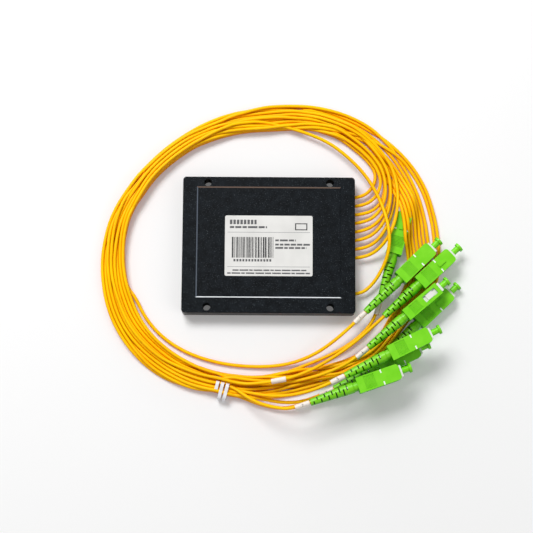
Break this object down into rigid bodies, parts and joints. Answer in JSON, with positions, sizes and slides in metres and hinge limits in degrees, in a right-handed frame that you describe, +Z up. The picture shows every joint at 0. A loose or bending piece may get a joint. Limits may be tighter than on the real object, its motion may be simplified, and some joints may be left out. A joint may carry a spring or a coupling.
{
  "type": "plc fibre splitter",
  "caption": "Slim rectangular optical splitter box with simplex fibre leads in a loose tied coil, each lead ending in a capped push-pull angled-polish plug.",
  "frame": {"origin": "middle of the box's underside, on the surface that the box and the coil lie on", "axes": "+X along the box towards the side that the leads leave, +Y across the box, +Z up out of the lid"},
  "size_m": [0.2096, 0.1823, 0.0242],
  "materials": {
    "box_plastic": "fine spark-eroded grain",
    "label_paper": "satin printed",
    "anchor_plastic": "moulded",
    "steel": "satin",
    "chip_glass": "sawn and polished",
    "fibre_tube": "smooth",
    "jacket": "smooth, slightly glossy",
    "tie_plastic": "smooth",
    "plug_green": "moulded, satin",
    "boot_green": "soft moulded",
    "cap_green": "moulded",
    "zirconia": "polished",
    "frame_plastic": "moulded",
    "marker_plastic": "smooth"
  },
  "bodies": {
    "root": {"base_shell": "box_plastic", "lid": "box_plastic", "label": "label_paper", "cable_anchors": "anchor_plastic", "splitter_sleeve": "steel", "splitter_chip": "chip_glass", "fibres_out": "fibre_tube", "fibre_in": "fibre_tube", "coil": "jacket", "twist_tie": "tie_plastic", "boot_1": "boot_green", "boot_2": "boot_green", "boot_3": "boot_green", "boot_4": "boot_green", "boot_5": "boot_green", "boot_6": "boot_green", "boot_7": "boot_green", "boot_8": "boot_green", "boot_in": "boot_green", "cord_1": "jacket", "cord_2": "jacket", "cord_3": "jacket", "cord_4": "jacket", "cord_5": "jacket", "cord_6": "jacket", "cord_7": "jacket", "cord_8": "jacket", "cord_in": "jacket", "plug_frames": "frame_plastic", "backbones": "steel", "crimp_sleeves": "steel", "ferrule_springs": "steel", "cable_markers": "marker_plastic"},
    "housing_1": {"housing_1": "plug_green"},
    "ferrule_1": {"ferrule_1": "zirconia"},
    "cap_1": {"cap_1": "cap_green"},
    "housing_2": {"housing_2": "plug_green"},
    "ferrule_2": {"ferrule_2": "zirconia"},
    "cap_2": {"cap_2": "cap_green"},
    "housing_3": {"housing_3": "plug_green"},
    "ferrule_3": {"ferrule_3": "zirconia"},
    "cap_3": {"cap_3": "cap_green"},
    "housing_4": {"housing_4": "plug_green"},
    "ferrule_4": {"ferrule_4": "zirconia"},
    "cap_4": {"cap_4": "cap_green"},
    "housing_5": {"housing_5": "plug_green"},
    "ferrule_5": {"ferrule_5": "zirconia"},
    "cap_5": {"cap_5": "cap_green"},
    "housing_6": {"housing_6": "plug_green"},
    "ferrule_6": {"ferrule_6": "zirconia"},
    "cap_6": {"cap_6": "cap_green"},
    "housing_7": {"housing_7": "plug_green"},
    "ferrule_7": {"ferrule_7": "zirconia"},
    "cap_7": {"cap_7": "cap_green"},
    "housing_8": {"housing_8": "plug_green"},
    "ferrule_8": {"ferrule_8": "zirconia"},
    "cap_8": {"cap_8": "cap_green"},
    "housing_in": {"housing_in": "plug_green"},
    "ferrule_in": {"ferrule_in": "zirconia"},
    "cap_in": {"cap_in": "cap_green"}
  },
  "joints": [
    {"name": "housing_1_slide", "type": "slide", "parent": "root", "child": "housing_1", "axis": [0.7145, 0.6997, 0], "range_m": [-0.002, 0]},
    {"name": "ferrule_1_spring", "type": "slide", "parent": "root", "child": "ferrule_1", "axis": [0.7145, 0.6997, 0], "range_m": [-0.001, 0], "stiffness_N_per_m": 1000, "deforming": ["ferrule_springs"]},
    {"name": "cap_1_pull", "type": "slide", "parent": "ferrule_1", "child": "cap_1", "axis": [0.7145, 0.6997, 0], "range_m": [0, 0.006]},
    {"name": "housing_2_slide", "type": "slide", "parent": "root", "child": "housing_2", "axis": [0.7325, 0.6807, 0], "range_m": [-0.002, 0]},
    {"name": "ferrule_2_spring", "type": "slide", "parent": "root", "child": "ferrule_2", "axis": [0.7325, 0.6807, 0], "range_m": [-0.001, 0], "stiffness_N_per_m": 1000, "deforming": ["ferrule_springs"]},
    {"name": "cap_2_pull", "type": "slide", "parent": "ferrule_2", "child": "cap_2", "axis": [0.7325, 0.6807, 0], "range_m": [0, 0.006]},
    {"name": "housing_3_slide", "type": "slide", "parent": "root", "child": "housing_3", "axis": [0.7615, 0.6481, 0], "range_m": [-0.002, 0]},
    {"name": "ferrule_3_spring", "type": "slide", "parent": "root", "child": "ferrule_3", "axis": [0.7615, 0.6481, 0], "range_m": [-0.001, 0], "stiffness_N_per_m": 1000, "deforming": ["ferrule_springs"]},
    {"name": "cap_3_pull", "type": "slide", "parent": "ferrule_3", "child": "cap_3", "axis": [0.7615, 0.6481, 0], "range_m": [0, 0.006]},
    {"name": "housing_4_slide", "type": "slide", "parent": "root", "child": "housing_4", "axis": [0.7218, 0.6921, 0], "range_m": [-0.002, 0]},
    {"name": "ferrule_4_spring", "type": "slide", "parent": "root", "child": "ferrule_4", "axis": [0.7218, 0.6921, 0], "range_m": [-0.001, 0], "stiffness_N_per_m": 1000, "deforming": ["ferrule_springs"]},
    {"name": "cap_4_pull", "type": "slide", "parent": "ferrule_4", "child": "cap_4", "axis": [0.7218, 0.6921, 0], "range_m": [0, 0.006]},
    {"name": "housing_5_slide", "type": "slide", "parent": "root", "child": "housing_5", "axis": [0.8949, 0.4462, 0], "range_m": [-0.002, 0]},
    {"name": "ferrule_5_spring", "type": "slide", "parent": "root", "child": "ferrule_5", "axis": [0.8949, 0.4462, 0], "range_m": [-0.001, 0], "stiffness_N_per_m": 1000, "deforming": ["ferrule_springs"]},
    {"name": "cap_5_pull", "type": "slide", "parent": "ferrule_5", "child": "cap_5", "axis": [0.8949, 0.4462, 0], "range_m": [0, 0.006]},
    {"name": "housing_6_slide", "type": "slide", "parent": "root", "child": "housing_6", "axis": [0.9026, 0.4305, 0], "range_m": [-0.002, 0]},
    {"name": "ferrule_6_spring", "type": "slide", "parent": "root", "child": "ferrule_6", "axis": [0.9026, 0.4305, 0], "range_m": [-0.001, 0], "stiffness_N_per_m": 1000, "deforming": ["ferrule_springs"]},
    {"name": "cap_6_pull", "type": "slide", "parent": "ferrule_6", "child": "cap_6", "axis": [0.9026, 0.4305, 0], "range_m": [0, 0.006]},
    {"name": "housing_7_slide", "type": "slide", "parent": "root", "child": "housing_7", "axis": [0.9426, 0.3338, 0], "range_m": [-0.002, 0]},
    {"name": "ferrule_7_spring", "type": "slide", "parent": "root", "child": "ferrule_7", "axis": [0.9426, 0.3338, 0], "range_m": [-0.001, 0], "stiffness_N_per_m": 1000, "deforming": ["ferrule_springs"]},
    {"name": "cap_7_pull", "type": "slide", "parent": "ferrule_7", "child": "cap_7", "axis": [0.9426, 0.3338, 0], "range_m": [0, 0.006]},
    {"name": "housing_8_slide", "type": "slide", "parent": "root", "child": "housing_8", "axis": [0.9421, 0.3355, 0], "range_m": [-0.002, 0]},
    {"name": "ferrule_8_spring", "type": "slide", "parent": "root", "child": "ferrule_8", "axis": [0.9421, 0.3355, 0], "range_m": [-0.001, 0], "stiffness_N_per_m": 1000, "deforming": ["ferrule_springs"]},
    {"name": "cap_8_pull", "type": "slide", "parent": "ferrule_8", "child": "cap_8", "axis": [0.9421, 0.3355, 0], "range_m": [0, 0.006]},
    {"name": "housing_in_slide", "type": "slide", "parent": "root", "child": "housing_in", "axis": [0.2756, 0.9613, 0], "range_m": [-0.002, 0]},
    {"name": "ferrule_in_spring", "type": "slide", "parent": "root", "child": "ferrule_in", "axis": [0.2756, 0.9613, 0], "range_m": [-0.001, 0], "stiffness_N_per_m": 1000, "deforming": ["ferrule_springs"]},
    {"name": "cap_in_pull", "type": "slide", "parent": "ferrule_in", "child": "cap_in", "axis": [0.2756, 0.9613, 0], "range_m": [0, 0.006]}
  ]
}
